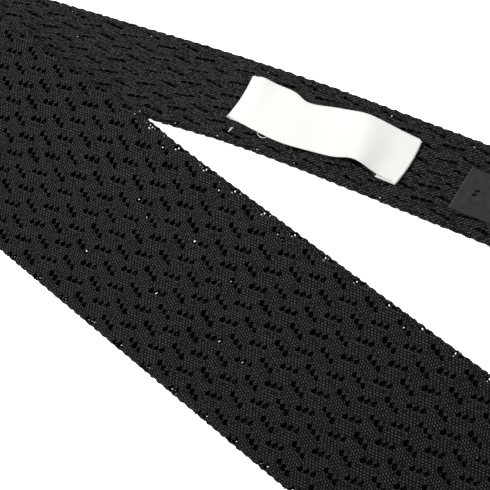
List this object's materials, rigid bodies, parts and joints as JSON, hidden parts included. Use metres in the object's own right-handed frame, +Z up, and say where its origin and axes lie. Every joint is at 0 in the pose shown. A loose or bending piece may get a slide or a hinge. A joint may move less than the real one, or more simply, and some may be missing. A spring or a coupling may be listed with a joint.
{
  "type": "necktie",
  "caption": "Openwork knitted necktie folded once at the neck and laid flat: wide square-ended blade, narrow tail with a blank sewn label and a plain tag.",
  "frame": {"origin": "middle of the whole folded tie, on the table under it", "axes": "+X along the tie from the fold at the neck to its two ends, +Y from the blade towards the side where the tail comes out, +Z up"},
  "size_m": [0.739, 0.1449, 0.0079],
  "materials": {
    "knit": "black silk-type yarn, openwork knit, soft sheen",
    "linking_yarn": "black yarn, a row of chained loops",
    "stay_tape": "black woven tape",
    "black_thread": "black sewing thread",
    "label_satin": "white woven satin, blank",
    "white_thread": "white sewing thread",
    "tag_satin": "black satin ribbon, blank"
  },
  "bodies": {
    "root": {"tail_neck_knit": "knit", "tail_upper_knit": "knit", "neck_stay_tape_tail_side": "stay_tape", "stay_tape_tack_tail_side": "black_thread", "brand_label": "label_satin", "brand_label_end_stitches": "white_thread", "brand_label_thread_end": "white_thread", "care_tag": "tag_satin", "care_tag_stitches": "black_thread"},
    "blade_neck": {"blade_neck_knit": "knit", "neck_stay_tape_blade_side": "stay_tape", "stay_tape_tack_blade_side": "black_thread"},
    "blade_upper": {"blade_upper_knit": "knit"},
    "blade_middle": {"blade_middle_knit": "knit"},
    "blade_end": {"blade_end_knit": "knit", "blade_end_linking": "linking_yarn"},
    "tail_middle": {"tail_middle_knit": "knit"},
    "tail_end": {"tail_end_knit": "knit", "tail_end_linking": "linking_yarn"}
  },
  "joints": [
    {"name": "neck_fold", "type": "hinge", "parent": "root", "child": "blade_neck", "pos_m": [-0.36962, -0.04043, 0.00395], "axis": [0, -1, 0], "range_deg": [0, 180]},
    {"name": "blade_bend_upper", "type": "hinge", "parent": "blade_neck", "child": "blade_upper", "pos_m": [-0.19052, -0.04043, 0.0079], "axis": [0, -1, 0], "range_deg": [0, 60]},
    {"name": "blade_bend_middle", "type": "hinge", "parent": "blade_upper", "child": "blade_middle", "pos_m": [0.05147, -0.04043, 0.0079], "axis": [0, -1, 0], "range_deg": [0, 60]},
    {"name": "blade_bend_end", "type": "hinge", "parent": "blade_middle", "child": "blade_end", "pos_m": [0.20947, -0.04043, 0.0036], "axis": [0, -1, 0], "range_deg": [0, 60]},
    {"name": "tail_bend_middle", "type": "hinge", "parent": "root", "child": "tail_middle", "pos_m": [0.19993, 0.04268, 0.0036], "axis": [0.1908, -0.9816, 0], "range_deg": [0, 45]},
    {"name": "tail_bend_end", "type": "hinge", "parent": "tail_middle", "child": "tail_end", "pos_m": [0.26242, 0.05146, 0.0036], "axis": [0.0872, -0.9962, 0], "range_deg": [0, 45]}
  ]
}
